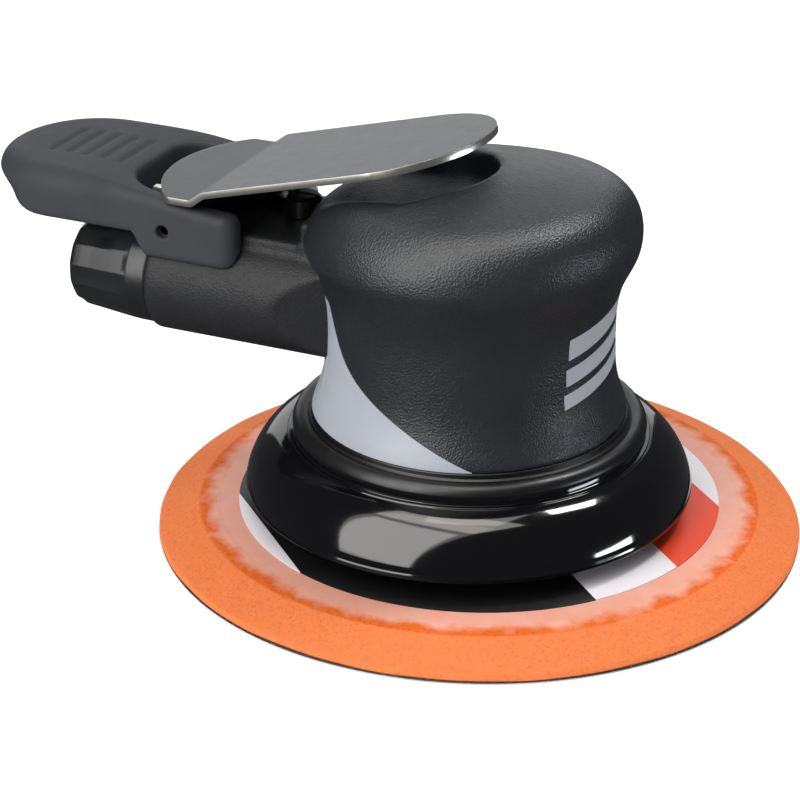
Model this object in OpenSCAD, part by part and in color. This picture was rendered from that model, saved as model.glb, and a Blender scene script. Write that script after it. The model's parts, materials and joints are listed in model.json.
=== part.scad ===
// Palm-grip random orbital air sander with a round backing pad, a rear wrist
// platform, a paddle throttle lever and a vane motor.
// Millimetres. The motor axis is +Z, the abrasive face lies at z = 0, and the
// air inlet, the exhaust and the wrist platform point along -X.

/* [Pad] */
// Outer diameter of the backing pad
pad_d = 152.4; // [148:0.1:154]
// Diameter of the circle that the pad's centre follows
orbit_d = 5; // [3:0.5:5]
// Direction of the pad's offset at rest, in degrees from +X
orbit_angle = 37; // [0:1:90]
// Height of the pad's top face above the abrasive face
pad_h = 6.3; // [6:0.1:6.5]
// Diameter of the printed disc on the pad
label_d = 113.6; // [100:0.1:118]

/* [Shroud] */
// Diameter of the skirt at its lower edge
skirt_d = 105; // [102:0.5:107]
// Height of the skirt's lower edge above the abrasive face
skirt_z = 11; // [10:0.5:11.5]

/* [Grip] */
// Height where the grip meets the shroud
grip_z = 30.2; // [30:0.1:30.5]
// Radius of the waist of the grip
waist_r = 33.2; // [33:0.1:34]
// Radius of the palm bulge
palm_r = 38.4; // [38:0.1:40]
// Height of the top of the palm bulge
palm_z = 88; // [87:0.5:89]
// Width of the lever channel in the palm bulge
channel_w = 33; // [32.5:0.5:34]
// Reach of the lever channel in front of the motor axis
channel_x = 5; // [3:0.5:6]

/* [Rear ports] */
// Distance of each port's axis from the middle plane
port_y = 10.5; // [10:0.1:11]
// Height of both ports' axes
port_z = 54.7; // [54.5:0.1:55]
// Outer radius of the exhaust port
exhaust_r = 13.1; // [13:0.1:13.6]
// Outer radius of the inlet port
inlet_r = 11.8; // [11.5:0.1:12]
// Distance from the motor axis to the ends of the ports
port_end = 73; // [72:0.5:74]
// Length of the muffler cap behind the exhaust port
cap_l = 21.5; // [18:0.5:24]

/* [Wrist platform] */
// Distance from the motor axis to the platform's rear end
platform_end = 120.5; // [119:0.5:124]
// Width of the platform
platform_w = 44; // [43.5:0.5:45]
// Height of the platform's top face
platform_z = 78.5; // [77.5:0.5:78.5]
// Depth of the platform's side walls
platform_h = 10.5; // [9.5:0.5:10.5]
// Distance from the motor axis to the front of the cheeks
cheek_end = 50; // [49.5:0.5:51]

/* [Lever] */
// Distance from the motor axis back to the lever's pin
pivot_x = 67.9; // [67.5:0.1:68]
// Height of the lever's pin
pivot_z = 69.7; // [69.5:0.1:69.8]
// Width of the paddle
paddle_w = 44; // [40:0.5:44.5]
// Slope of the paddle at rest, in degrees
paddle_slope = 14.7; // [14:0.1:15]
// Thickness of the lever's sheet
sheet_t = 1.6; // [1.5:0.1:1.7]
// Distance of the paddle's tip in front of the motor axis
tip_x = 4; // [2:0.5:6]

/* [Motor] */
// Outer radius of the motor's drum
drum_r = 29.5; // [29.5:0.1:29.7]
// Radius of the drum's bore
liner_r = 26.3; // [26.2:0.1:26.3]
// Radius of the liner's eccentric bore
chamber_r = 21.5; // [21.3:0.1:21.5]
// Distance of the chamber's axis from the motor axis
chamber_offset = 1.8; // [1.7:0.1:1.8]
// Radius of the rotor
rotor_r = 19.3; // [19:0.1:19.3]

/* [Hidden] */
$fn = 96;
hull_fn = 32;
over = 0.5;
slip = 0.05;
fit = 0.1;
gap = 0.3;

pad_r = pad_d / 2;
orbit = [orbit_d / 2 * cos(orbit_angle), orbit_d / 2 * sin(orbit_angle)];
face_t = 0.8;
foam_r = pad_r - 0.2;
rim_r = pad_r - 0.9;
rim_z = 1.6;
hub_r = 65;
hub_edge_z = pad_h - 0.5;
hub_bevel = 1.5;
hub_bore_r = 9.6;
plate_r = 60;
plate_z = 3;
plate_top = plate_z + 1.8;
label_t = 0.3;
label_bore_r = 10;
stud_r = 3.9;
stud_top = 20;
collar_r = 9.4;
collar_top = pad_h + 0.6;

spindle_z = pad_h + 0.7;
spindle_flats = 17;
spindle_nut_h = 5.4;
shaft_r = 6;
upper_shaft_r = 4;
groove_d = 0.6;
balancer_z = 12.8;
balancer_top = 26.2;
weight_r = [12, 31];
weight_z = [13.2, 20.6];
weight_angle = 110;
shoulder_r = 8.4;
shoulder_z = [25, 29.2];
shaft_top = 70.8;
shaft_groove_z = 69.7;
key_w = 3;
key_seat_l = 17;

liner_z = 38;
liner_top = 62;
drum_z = 24.6;
drum_top = 75;
motor_top = 70;
rotor_z = liner_z + gap;
rotor_top = liner_top - gap;
vane_t = 1.6;
slot_t = vane_t + 0.2;
slot_r = rotor_r - 7.4;
locating_r = 1.2;
locating_l = 31;
lock_ring_z = [27, 30.2];

// Ball bearings: [bore radius, outer radius, width, ball radius, ball count]
upper_brg = [4, 11, 7, 1.7, 8];
lower_brg = [6, 14, 8, 2.1, 9];
spindle_brg = [6, 14, 8, 2.1, 9];
upper_brg_z = 62.6;
lower_brg_z = 29.2;
spindle_brg_z = 13.2;
spindle_groove_z = spindle_brg_z + spindle_brg[2] + 0.1;
spindle_top = spindle_groove_z + 2.3;

// Radii of the top's arches across and along the grip
crown_r = [92, 80];
crown_x = 10;
channel_z = 79.5;

cap_r = 12.2;
cap_end_r = 10.7;
exhaust_bore_r = 9.4;
throat_r = 6;
throat_start = 34;
inlet_bore_r = 6;
inlet_end = 59;
flat_start = 40;
flat_angle = 20;
thread_r = 5.7;
bushing_r = 8.4;
bushing_l = 14;
hex_l = 6;
hex_flats = 17;

port_start = 20;
boss_w = 31.8;
boss_top = 69.5;
boss_end = 59;
bridge_end = 36;
saddle_z = 65;
tongue_w = 23.6;
tongue_r = 4;
pin_r = 1.6;
pin_l = platform_w - 1.6;
pin_slip = 0.02;
cheek_t = 5.8;
cheek_z = 62.5;
cheek_rear = 73.6;
recess_w = platform_w - 2 * cheek_t;
recess_end = 81;
platform_corner_r = 21.5;
platform_skin = 5;

valve_x = -50;
valve_y = port_y;
valve_floor = 46;
seat_z = 54.6;
seat_t = 2;
seat_bore_r = 2.9;
poppet_r = 4.2;
poppet_t = 2.6;
poppet_z = seat_z - 0.6 - poppet_t;
stem_r = 1.5;
chamber_w = 5;
passage_z = 59.4;
passage_r = 2.3;
regulator_x = -43.5;
regulator_y = 2.5;
regulator_r = 3.4;
regulator_z = passage_z - 3.6;
seal_d = 0.9;
knob_r = 4.2;
knob_z = boss_top + gap;
knob_h = 4;

paddle_mid = 80.4 + tan(paddle_slope) * 56.3;
bend_x = -57.5;
heel_z = 77.7;
heel_x = -75.5;
heel_r = 31;
lug_y = 14.2;
lug_t = 1.6;
lug_slot_w = 2.6;
lug_r = 3.9;

// Points of a quadratic curve from a to c that bends towards b.
function curve(a, b, c, n) =
    [for (i = [0 : n]) let (t = i / n) (1 - t) * (1 - t) * a + 2 * t * (1 - t) * b + t * t * c];

// Moves its children to the pad's axis, beside the motor axis.
module at_pad() {
    translate([orbit[0], orbit[1], 0]) children();
}

// A ring around Z: inner radius, outer radius, bottom and height.
module ring(r0, r1, z, h) {
    difference() {
        translate([0, 0, z]) cylinder(r = r1, h = h);
        translate([0, 0, z - over]) cylinder(r = r0, h = h + 2 * over);
    }
}

// A round bar along X from x0 to x1.
module bar_x(x0, x1, y, z, r) {
    translate([x0, y, z]) rotate([0, 90, 0]) cylinder(r = r, h = x1 - x0);
}

// A round bar along Y, centred on the middle plane.
module bar_y(x, z, r, l) {
    translate([x, 0, z]) rotate([90, 0, 0]) cylinder(r = r, h = l, center = true);
}

// ---- ball bearings ----

function ball_circle(b) = (b[0] + b[1]) / 2;

module ball_track(b) {
    rotate_extrude() translate([ball_circle(b), b[2] / 2]) circle(r = b[3] + 0.12);
}

module inner_race(b) {
    difference() {
        ring(b[0], ball_circle(b) - b[3] * 0.62, 0, b[2]);
        ball_track(b);
    }
}

module outer_race(b) {
    difference() {
        ring(ball_circle(b) + b[3] * 0.62, b[1], 0, b[2]);
        ball_track(b);
    }
}

module ball_cage(b) {
    cage_w = b[3] * 0.42;
    translate([0, 0, b[2] / 2]) {
        ring(ball_circle(b) - cage_w, ball_circle(b) + cage_w, -b[3] * 0.8, b[3] * 1.6);
        for (i = [0 : b[4] - 1]) {
            rotate([0, 0, i * 360 / b[4]]) translate([ball_circle(b), 0, 0]) sphere(r = b[3]);
        }
    }
}

// ---- backing pad ----

module pad_face() {
    color("#2b2b2d") at_pad() cylinder(r = pad_r, h = face_t);
}

module pad_foam() {
    color("#f47a2e") at_pad() rotate_extrude() polygon([
        [0, face_t], [foam_r, face_t], [rim_r, rim_z],
        [hub_r, hub_edge_z], [hub_r, plate_z], [0, plate_z]]);
}

module pad_hub() {
    color("#e6a58c") at_pad() rotate_extrude() polygon([
        [hub_bore_r, plate_top], [plate_r, plate_top], [plate_r, plate_z],
        [hub_r, plate_z], [hub_r, hub_edge_z], [hub_r - hub_bevel, pad_h], [hub_bore_r, pad_h]]);
}

module pad_plate() {
    color("#c9b458") at_pad() ring(stud_r, plate_r, plate_z, plate_top - plate_z);
}

module pad_label() {
    color("#1c1c1e") at_pad() ring(label_bore_r, label_d / 2, pad_h, label_t);
}

module pad_stud() {
    color("#9a9da1") at_pad() {
        translate([0, 0, plate_z]) cylinder(r = stud_r, h = stud_top - plate_z);
        translate([0, 0, plate_top]) cylinder(r = collar_r, h = collar_top - plate_top);
    }
}

// ---- spindle that carries the pad ----

// Snap ring of thickness t around a shaft of radius r, open towards +X.
module snap_ring(r, reach, z, t) {
    opening = r / 2;
    difference() {
        ring(r - groove_d + slip, r + reach, z, t);
        translate([0, -opening / 2, z - over]) cube([r + reach + over, opening, t + 2 * over]);
    }
}

module spindle() {
    color("#85888d") at_pad() difference() {
        union() {
            translate([0, 0, spindle_z])
                cylinder(r = spindle_flats / sqrt(3), h = spindle_nut_h, $fn = 6);
            translate([0, 0, spindle_z]) cylinder(r = shaft_r, h = spindle_top - spindle_z);
        }
        translate([0, 0, spindle_z - over])
            cylinder(r = stud_r + slip, h = stud_top - spindle_z + 2 * over);
        ring(shaft_r - groove_d, shaft_r + over, spindle_groove_z, 1.2);
    }
}

module spindle_ring() {
    color("#4c4e52") at_pad() snap_ring(shaft_r, 1.6, spindle_groove_z + slip, 1.1);
}

module spindle_inner_race() {
    color("#b9bcc0") at_pad() translate([0, 0, spindle_brg_z]) inner_race(spindle_brg);
}

module spindle_ball_cage() {
    color("#c9a24a") at_pad() translate([0, 0, spindle_brg_z]) ball_cage(spindle_brg);
}

module spindle_outer_race() {
    color("#b0b3b8") at_pad() translate([0, 0, spindle_brg_z]) outer_race(spindle_brg);
}

// ---- rotating motor parts ----

module shaft_balancer() {
    pocket_r = spindle_brg[1];
    pocket_top = spindle_brg_z + spindle_brg[2];
    wall = 3;
    relief_r = 9;
    relief_h = 3.6;
    color("#6f7277") difference() {
        union() {
            at_pad() translate([0, 0, balancer_z])
                cylinder(r = pocket_r + wall, h = balancer_top - balancer_z);
            rotate([0, 0, orbit_angle + 180 - weight_angle / 2]) rotate_extrude(angle = weight_angle)
                translate([weight_r[0], weight_z[0]])
                    square([weight_r[1] - weight_r[0], weight_z[1] - weight_z[0]]);
            translate([0, 0, shoulder_z[0]]) cylinder(r = shoulder_r, h = shoulder_z[1] - shoulder_z[0]);
            translate([0, 0, shoulder_z[0]]) cylinder(r = shaft_r, h = rotor_top - shoulder_z[0]);
            translate([0, 0, rotor_top - over])
                cylinder(r = upper_shaft_r, h = shaft_top - rotor_top + over);
        }
        at_pad() translate([0, 0, balancer_z - over])
            cylinder(r = pocket_r, h = pocket_top - balancer_z + over);
        at_pad() translate([0, 0, pocket_top - over]) cylinder(r = relief_r, h = relief_h + over);
        translate([shaft_r - key_w / 2, -key_w / 2, rotor_z + key_w]) cube([key_w, key_w, key_seat_l]);
        ring(upper_shaft_r - groove_d, upper_shaft_r + over, shaft_groove_z, 0.9);
    }
}

module rotor() {
    color("#8d9095") difference() {
        ring(shaft_r + slip, rotor_r, rotor_z, rotor_top - rotor_z);
        for (i = [0 : 4]) {
            rotate([0, 0, 72 * i + 36]) translate([slot_r, -slot_t / 2, rotor_z - over])
                cube([rotor_r, slot_t, rotor_top - rotor_z + 2 * over]);
        }
        translate([0, -key_w / 2 - slip, rotor_z - over])
            cube([shaft_r + key_w / 2 + 2 * slip, key_w + 2 * slip, rotor_top - rotor_z + 2 * over]);
    }
}

module rotor_key() {
    color("#5d6065") translate([shaft_r - key_w / 2 + slip, -key_w / 2, rotor_z + key_w + 2 * slip])
        cube([key_w - 2 * slip, key_w, key_seat_l - 4 * slip]);
}

module vane(i) {
    color("#5b3b22") rotate([0, 0, 72 * i - 36])
        translate([slot_r + 0.2, -vane_t / 2, rotor_z + 0.1])
            cube([rotor_r - slot_r - 0.4, vane_t, rotor_top - rotor_z - 0.2]);
}

module lower_inner_race() {
    color("#b9bcc0") translate([0, 0, lower_brg_z]) inner_race(lower_brg);
}

module lower_ball_cage() {
    color("#c9a24a") translate([0, 0, lower_brg_z]) ball_cage(lower_brg);
}

module upper_inner_race() {
    color("#b9bcc0") translate([0, 0, upper_brg_z]) inner_race(upper_brg);
}

module upper_ball_cage() {
    color("#c9a24a") translate([0, 0, upper_brg_z]) ball_cage(upper_brg);
}

module shaft_ring() {
    color("#4c4e52") snap_ring(upper_shaft_r, 1.2, shaft_groove_z + slip, 0.8);
}

// ---- fixed motor parts ----

module lower_outer_race() {
    color("#b0b3b8") translate([0, 0, lower_brg_z]) outer_race(lower_brg);
}

module upper_outer_race() {
    color("#b0b3b8") translate([0, 0, upper_brg_z]) outer_race(upper_brg);
}

// Round bar through both bearing plates and the liner.
module locating_bar(r, l) {
    translate([0, 2.8 - liner_r, (liner_z + liner_top) / 2]) cylinder(r = r, h = l, center = true);
}

module lower_bearing_plate() {
    color("#a4a7ab") difference() {
        ring(lower_brg[1] - 4.5, liner_r, lock_ring_z[1], liner_z - lock_ring_z[1]);
        translate([0, 0, lower_brg_z]) cylinder(r = lower_brg[1], h = lower_brg[2]);
        locating_bar(locating_r + slip, locating_l + 2 * over);
    }
}

module upper_bearing_plate() {
    color("#a4a7ab") difference() {
        ring(shaft_r + 2 * gap, liner_r, liner_top, motor_top - liner_top);
        translate([0, 0, upper_brg_z]) cylinder(r = upper_brg[1], h = 10);
        locating_bar(locating_r + slip, locating_l + 2 * over);
    }
}

module cylinder_liner() {
    port_angle = atan2(-port_y, -sqrt(liner_r * liner_r - port_y * port_y));
    window_w = 2.5;
    window_h = 12;
    window_pitch = 4.4;
    color("#8f9297") difference() {
        translate([0, 0, liner_z]) cylinder(r = liner_r, h = liner_top - liner_z);
        translate([0, chamber_offset, liner_z - over])
            cylinder(r = chamber_r, h = liner_top - liner_z + 2 * over);
        locating_bar(locating_r + slip, locating_l + 2 * over);
        for (i = [-1 : 1]) {
            rotate([0, 0, port_angle])
                translate([liner_r / 2, window_pitch * i - window_w / 2, port_z - window_h / 2])
                    cube([liner_r, window_w, window_h]);
        }
        bar_x(-liner_r - over, -chamber_r / 2, regulator_y, passage_z, passage_r);
    }
}

module locating_pin() {
    color("#c8cacd") locating_bar(locating_r, locating_l);
}

module lock_ring() {
    color("#3c3e42") difference() {
        ring(17, liner_r, lock_ring_z[0], lock_ring_z[1] - lock_ring_z[0]);
        for (i = [0 : 3]) {
            rotate([0, 0, 90 * i + 45]) translate([21, 0, lock_ring_z[0] - over]) cylinder(r = 1.8, h = 1.5);
        }
    }
}

// ---- housing, grip and shroud ----

// Outside of a port along X: it is round, with a flat on its outer side that
// deepens towards the grip.
module port_body(side, r) {
    difference() {
        bar_x(-port_end, -port_start, side * port_y, port_z, r);
        translate([-flat_start, side * (port_y + r), port_z])
            rotate([0, 0, side * -flat_angle]) translate([0, side * r, 0])
                cube([60, 2 * r, 3 * r], center = true);
    }
}

// Block over the ports, from x = -end to the drum and from z0 to z1.
module rear_block(end, z0, z1) {
    translate([-end, -boss_w / 2, z0]) cube([end - port_start, boss_w, z1 - z0]);
}

// Passages of the air: exhaust, inlet, valve chamber, regulator and the way to the motor.
module air_passages() {
    bar_x(-port_end - over, -throat_start, -port_y, port_z, exhaust_bore_r);
    bar_x(-throat_start - 1, -port_start, -port_y, port_z, throat_r);
    bar_x(-port_end - over, -inlet_end, port_y, port_z, bushing_r);
    bar_x(-inlet_end - 1, -inlet_end + 1, port_y, port_z, inlet_bore_r);
    bar_x(-inlet_end, valve_x, port_y, valve_floor + 4.6, 3);
    translate([valve_x, valve_y, valve_floor]) cylinder(r = chamber_w, h = drum_top - valve_floor);
    translate([regulator_x, regulator_y, regulator_z - 0.4])
        cylinder(r = regulator_r + slip, h = drum_top - regulator_z);
    bar_x(regulator_x, -port_start, regulator_y, passage_z, passage_r);
    translate([valve_x, valve_y, passage_z])
        rotate([0, 90, atan2(regulator_y - valve_y, regulator_x - valve_x)])
            cylinder(r = passage_r, h = norm([regulator_x - valve_x, regulator_y - valve_y]));
}

module motor_housing() {
    tongue_h = pivot_z - saddle_z + 1;
    color("#26272a") difference() {
        union() {
            translate([0, 0, drum_z]) cylinder(r = drum_r, h = drum_top - drum_z);
            port_body(-1, exhaust_r);
            port_body(1, inlet_r);
            rear_block(port_end, port_z - 6, saddle_z);
            rear_block(boss_end, saddle_z - 1, boss_top);
            rear_block(bridge_end, saddle_z - 1, drum_top);
            translate([-pivot_x - tongue_r, -tongue_w / 2, saddle_z - 1])
                cube([2 * tongue_r, tongue_w, tongue_h]);
            bar_y(-pivot_x, pivot_z, tongue_r, tongue_w);
        }
        translate([0, 0, drum_z - over]) cylinder(r = liner_r + 2 * slip, h = motor_top - drum_z + over);
        translate([0, 0, motor_top - 1]) cylinder(r = 9, h = 3);
        air_passages();
        for (side = [-1, 1]) {
            translate([-port_end - 1, side * (lug_y - lug_t / 2) - lug_slot_w / 2, pivot_z - lug_r - 0.4])
                cube([port_end + 1 - pivot_x + lug_r + 0.8, lug_slot_w, 20]);
        }
        bar_y(-pivot_x, pivot_z, pin_r + pin_slip, tongue_w + 2 * over);
    }
}

function bell_outer() = concat(
    [[skirt_d / 2, skirt_z], [skirt_d / 2 + 0.1, skirt_z + 1.4]],
    curve([skirt_d / 2, skirt_z + 2.4], [50.4, 22.4], [42.6, 24.3], 8),
    curve([41.2, 24.6], [41, grip_z - fit], [37, grip_z - fit], 8));

module shroud() {
    color("#101114") rotate_extrude() difference() {
        polygon(concat(bell_outer(), [[drum_r + fit, grip_z - fit], [drum_r + fit, skirt_z]]));
        polygon(concat([[0, skirt_z - over], [skirt_d / 2 - 2, skirt_z - over]],
            curve([skirt_d / 2 - 2.2, skirt_z + 2], [47.6, 19.6], [39.4, 22.2], 6), [[0, 22.2]]));
    }
}

module palm_grip() {
    profile = concat(
        curve([37, grip_z], [waist_r + 0.1, 37], [waist_r, 48], 5),
        curve([waist_r, 48], [waist_r, 60], [palm_r - 2.4, 64.3], 5),
        curve([palm_r - 2.4, 64.3], [palm_r + 0.1, 68.5], [palm_r, 74], 5),
        curve([palm_r, 74], [palm_r - 0.2, palm_z], [22, palm_z], 8),
        [[0, palm_z], [0, grip_z]]);
    color("#333539") difference() {
        intersection() {
            rotate_extrude() polygon(profile);
            bar_x(-60, 60, 0, palm_z - crown_r[0], crown_r[0]);
            bar_y(crown_x, palm_z - crown_r[1], crown_r[1], 120);
        }
        translate([0, 0, grip_z - over]) cylinder(r = drum_r + fit, h = drum_top - grip_z + over + fit);
        translate([-60, -boss_w / 2 - fit, port_z - 6 - fit])
            cube([60, boss_w + 2 * fit, drum_top - port_z + 6 + 2 * fit]);
        port_body(-1, exhaust_r + fit);
        port_body(1, inlet_r + fit);
        lever_channel();
    }
}

// Channel from the rear of the palm bulge to a round end in front of the motor axis.
module lever_channel() {
    translate([0, 0, channel_z]) linear_extrude(20) {
        translate([channel_x - channel_w / 2, 0]) circle(d = channel_w);
        translate([-60, -channel_w / 2]) square([60 + channel_x - channel_w / 2, channel_w]);
    }
}

// ---- wrist platform ----

module platform_outline(inset) {
    corner_x = platform_corner_r - platform_end;
    corner_y = platform_w / 2 - platform_corner_r;
    for (side = [-1, 1]) {
        translate([corner_x, side * corner_y]) circle(r = platform_corner_r - inset, $fn = hull_fn);
        translate([-cheek_end - 4, side * (platform_w / 2 - 4)]) circle(r = 4 - inset, $fn = hull_fn);
    }
}

module platform_layer(z, inset) {
    translate([0, 0, z]) linear_extrude(0.01) platform_outline(inset);
}

module wrist_platform() {
    bottom = platform_z - platform_h;
    color("#3a3c40") difference() {
        union() {
            difference() {
                hull() {
                    platform_layer(bottom, 2.2);
                    platform_layer(bottom + 1.6, 0.4);
                    platform_layer(platform_z - 2.2, 0);
                    platform_layer(platform_z - 0.7, 0.5);
                    platform_layer(platform_z - 0.01, 1.9);
                }
                translate([-cheek_rear - 3, -50, bottom - over]) cube([60, 100, 30]);
                translate([-platform_end + 12, -recess_w / 2, bottom - over])
                    cube([platform_end - recess_end - 14, recess_w, platform_h - platform_skin + over]);
            }
            for (side = [-1, 1]) {
                translate([0, side * (platform_w - cheek_t) / 2, 0]) rotate([90, 0, 0])
                    linear_extrude(cheek_t, center = true) polygon([
                        [-cheek_rear - 3.5, platform_z - 0.2], [-cheek_rear - 3.5, bottom + 0.2],
                        [-cheek_rear - 1, bottom], [-cheek_rear + 1.6, cheek_z], [-cheek_end, cheek_z],
                        [-cheek_end, 74.9], [-cheek_rear + 2, 76.5]]);
            }
        }
        translate([0, 0, bottom - over]) linear_extrude(platform_h + 2 * over) hull() {
            for (side = [-1, 1]) {
                translate([9 - recess_end, side * (recess_w / 2 - 9)]) circle(r = 9, $fn = hull_fn);
                translate([-60, side * (recess_w / 2 - 9)]) circle(r = 9, $fn = hull_fn);
            }
        }
        bar_y(-pivot_x, pivot_z, pin_r + pin_slip, platform_w + 2 * over);
        bar_x(-port_end - 5, -40, -port_y, port_z, exhaust_r + fit);
        bar_x(-port_end - 5, -40, port_y, port_z, inlet_r + fit);
    }
}

// ---- lever ----

function paddle_z(x) = paddle_mid + tan(paddle_slope) * x;

// Sheet of the lever seen from the side, as wide as the whole model.
module lever_sheet() {
    rotate([90, 0, 0]) linear_extrude(80, center = true) polygon([
        [heel_x - 5, heel_z - sheet_t / 2], [bend_x - 2.6, heel_z - sheet_t / 2],
        [bend_x + 0.6, paddle_z(bend_x + 0.6) - sheet_t / 2], [tip_x + 5, paddle_z(tip_x + 5) - sheet_t / 2],
        [tip_x + 5, paddle_z(tip_x + 5) + sheet_t / 2], [bend_x, paddle_z(bend_x) + sheet_t / 2],
        [bend_x - 3.2, heel_z + sheet_t / 2], [heel_x - 5, heel_z + sheet_t / 2]]);
}

module throttle_lever() {
    half_w = paddle_w / 2;
    color("#a7aaae") difference() {
        union() {
            intersection() {
                lever_sheet();
                translate([0, 0, 60]) linear_extrude(50) {
                    translate([tip_x - half_w, 0]) circle(r = half_w);
                    intersection() {
                        translate([heel_x, -half_w]) square([tip_x - half_w - heel_x, paddle_w]);
                        translate([heel_x + heel_r, 0]) circle(r = heel_r);
                    }
                    translate([heel_x + heel_r, -half_w])
                        square([tip_x - half_w - heel_x - heel_r, paddle_w]);
                }
            }
            for (side = [-1, 1]) {
                translate([0, side * (lug_y - lug_t / 2), 0]) rotate([90, 0, 0])
                    linear_extrude(lug_t, center = true) {
                        translate([-pivot_x, pivot_z]) circle(r = lug_r);
                        translate([-pivot_x - lug_r, pivot_z]) square([2 * lug_r, heel_z - pivot_z]);
                    }
            }
        }
        bar_y(-pivot_x, pivot_z, pin_r + 0.06, platform_w);
    }
}

module lever_pin() {
    color("#b4b7ba") difference() {
        bar_y(-pivot_x, pivot_z, pin_r, pin_l);
        bar_y(-pivot_x, pivot_z, 0.8, pin_l + 2 * over);
        translate([-pivot_x, -platform_w / 2, pivot_z - 0.25]) cube([4, platform_w, 0.5]);
    }
}

// ---- throttle valve ----

stem_top = paddle_z(valve_x) - sheet_t / 2 / cos(paddle_slope) - 0.7;

module at_valve() {
    translate([valve_x, valve_y, 0]) children();
}

module valve_stem() {
    color("#c2c4c7") at_valve() {
        translate([0, 0, poppet_z + poppet_t])
            cylinder(r = stem_r, h = stem_top - stem_r - poppet_z - poppet_t);
        translate([0, 0, stem_top - stem_r]) sphere(r = stem_r);
    }
}

module valve_poppet() {
    color("#3d4043") at_valve() translate([0, 0, poppet_z]) cylinder(r = poppet_r, h = poppet_t);
}

module valve_spring() {
    turns = 5;
    wire_r = 0.4;
    coil_r = 3.3;
    z0 = valve_floor + wire_r + 0.1;
    z1 = poppet_z - wire_r - 0.1;
    steps = turns * 14;
    sides = 8;
    points = [for (i = [0 : steps]) let (a = 360 * turns * i / steps, z = z0 + (z1 - z0) * i / steps)
        for (j = [0 : sides - 1]) let (b = -360 * j / sides, r = coil_r + wire_r * cos(b))
            [r * cos(a), r * sin(a), z + wire_r * sin(b)]];
    walls = [for (i = [0 : steps - 1]) for (j = [0 : sides - 1]) let (k = (j + 1) % sides)
        [i * sides + j, i * sides + k, (i + 1) * sides + k, (i + 1) * sides + j]];
    ends = [[for (j = [sides - 1 : -1 : 0]) j], [for (j = [0 : sides - 1]) steps * sides + j]];
    color("#c9cbce") at_valve() polyhedron(points = points, faces = concat(walls, ends));
}

module valve_seat() {
    color("#c79b4b") at_valve() ring(seat_bore_r, chamber_w, seat_z, seat_t);
}

module valve_guide() {
    guide_z = 63;
    seal_h = 2.4;
    color("#1d1e21") at_valve() difference() {
        union() {
            ring(stem_r + slip, chamber_w, guide_z, boss_top - guide_z);
            ring(stem_r + slip, 5.6, boss_top, 2.2);
        }
        translate([0, 0, guide_z - 1]) cylinder(r = seat_bore_r, h = seal_h + 1);
    }
}

module stem_seal() {
    color("#17181a") at_valve() rotate_extrude() translate([2.25, 64.4]) circle(r = 0.62);
}

module speed_regulator() {
    groove_z = 65.4;
    hole_r = passage_r - 0.2;
    color("#131417") translate([regulator_x, regulator_y, 0]) difference() {
        union() {
            translate([0, 0, regulator_z]) cylinder(r = regulator_r, h = knob_z + 1 - regulator_z);
            translate([0, 0, knob_z]) cylinder(r = knob_r, h = knob_h);
            translate([0, 0, knob_z + knob_h]) cylinder(r1 = knob_r, r2 = knob_r - 0.8, h = 0.8);
        }
        for (angle = [0, atan2(valve_y - regulator_y, valve_x - regulator_x)]) {
            translate([0, 0, passage_z]) rotate([0, 90, angle]) cylinder(r = hole_r, h = 10);
        }
        ring(regulator_r - seal_d, regulator_r + over, groove_z, 1.6);
        translate([-knob_r, -0.5, knob_z + knob_h - 0.4]) cube([2 * knob_r, 1, 2]);
    }
}

module regulator_seal() {
    color("#1b1c1e") translate([regulator_x, regulator_y, 0])
        ring(regulator_r - seal_d + slip, regulator_r, 65.5, 1.4);
}

// ---- inlet and exhaust ----

module inlet_bushing() {
    color("#9da0a4") difference() {
        union() {
            bar_x(-port_end, -port_end + bushing_l - hex_l, port_y, port_z, bushing_r);
            translate([-port_end - hex_l, port_y, port_z]) rotate([0, 90, 0])
                cylinder(r = hex_flats / sqrt(3), h = hex_l, $fn = 6);
        }
        bar_x(-port_end - hex_l - over, -port_end + bushing_l, port_y, port_z, thread_r);
    }
}

module inlet_screen() {
    color("#c8a552") difference() {
        bar_x(-port_end + bushing_l - hex_l, -port_end + bushing_l - hex_l + 0.8, port_y, port_z, bushing_r);
        for (i = [-2 : 2]) {
            for (j = [-2 : 2]) {
                bar_x(-port_end, -port_end + bushing_l, port_y + 2.2 * i, port_z + 2.2 * j, 0.7);
            }
        }
    }
}

module muffler_cap() {
    collar_l = 5;
    color("#2d2f32") translate([-port_end, -port_y, port_z]) rotate([0, -90, 0]) difference() {
        union() {
            translate([0, 0, -8]) cylinder(r = exhaust_bore_r, h = 9);
            cylinder(r = cap_r, h = collar_l);
            translate([0, 0, collar_l]) cylinder(r1 = cap_r, r2 = cap_end_r, h = cap_l - collar_l);
        }
        translate([0, 0, -9]) cylinder(r = 7.6, h = cap_l + 9 - 2);
        translate([0, 0, cap_l - 3]) cylinder(r = 5.4, h = 4);
    }
}

module muffler_felt() {
    color("#8b8f83") translate([-port_end, -port_y, port_z]) rotate([0, -90, 0]) difference() {
        translate([0, 0, -7]) cylinder(r = 7.6, h = 24);
        translate([0, 0, -8]) cylinder(r = 4.2, h = 26);
    }
}

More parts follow.
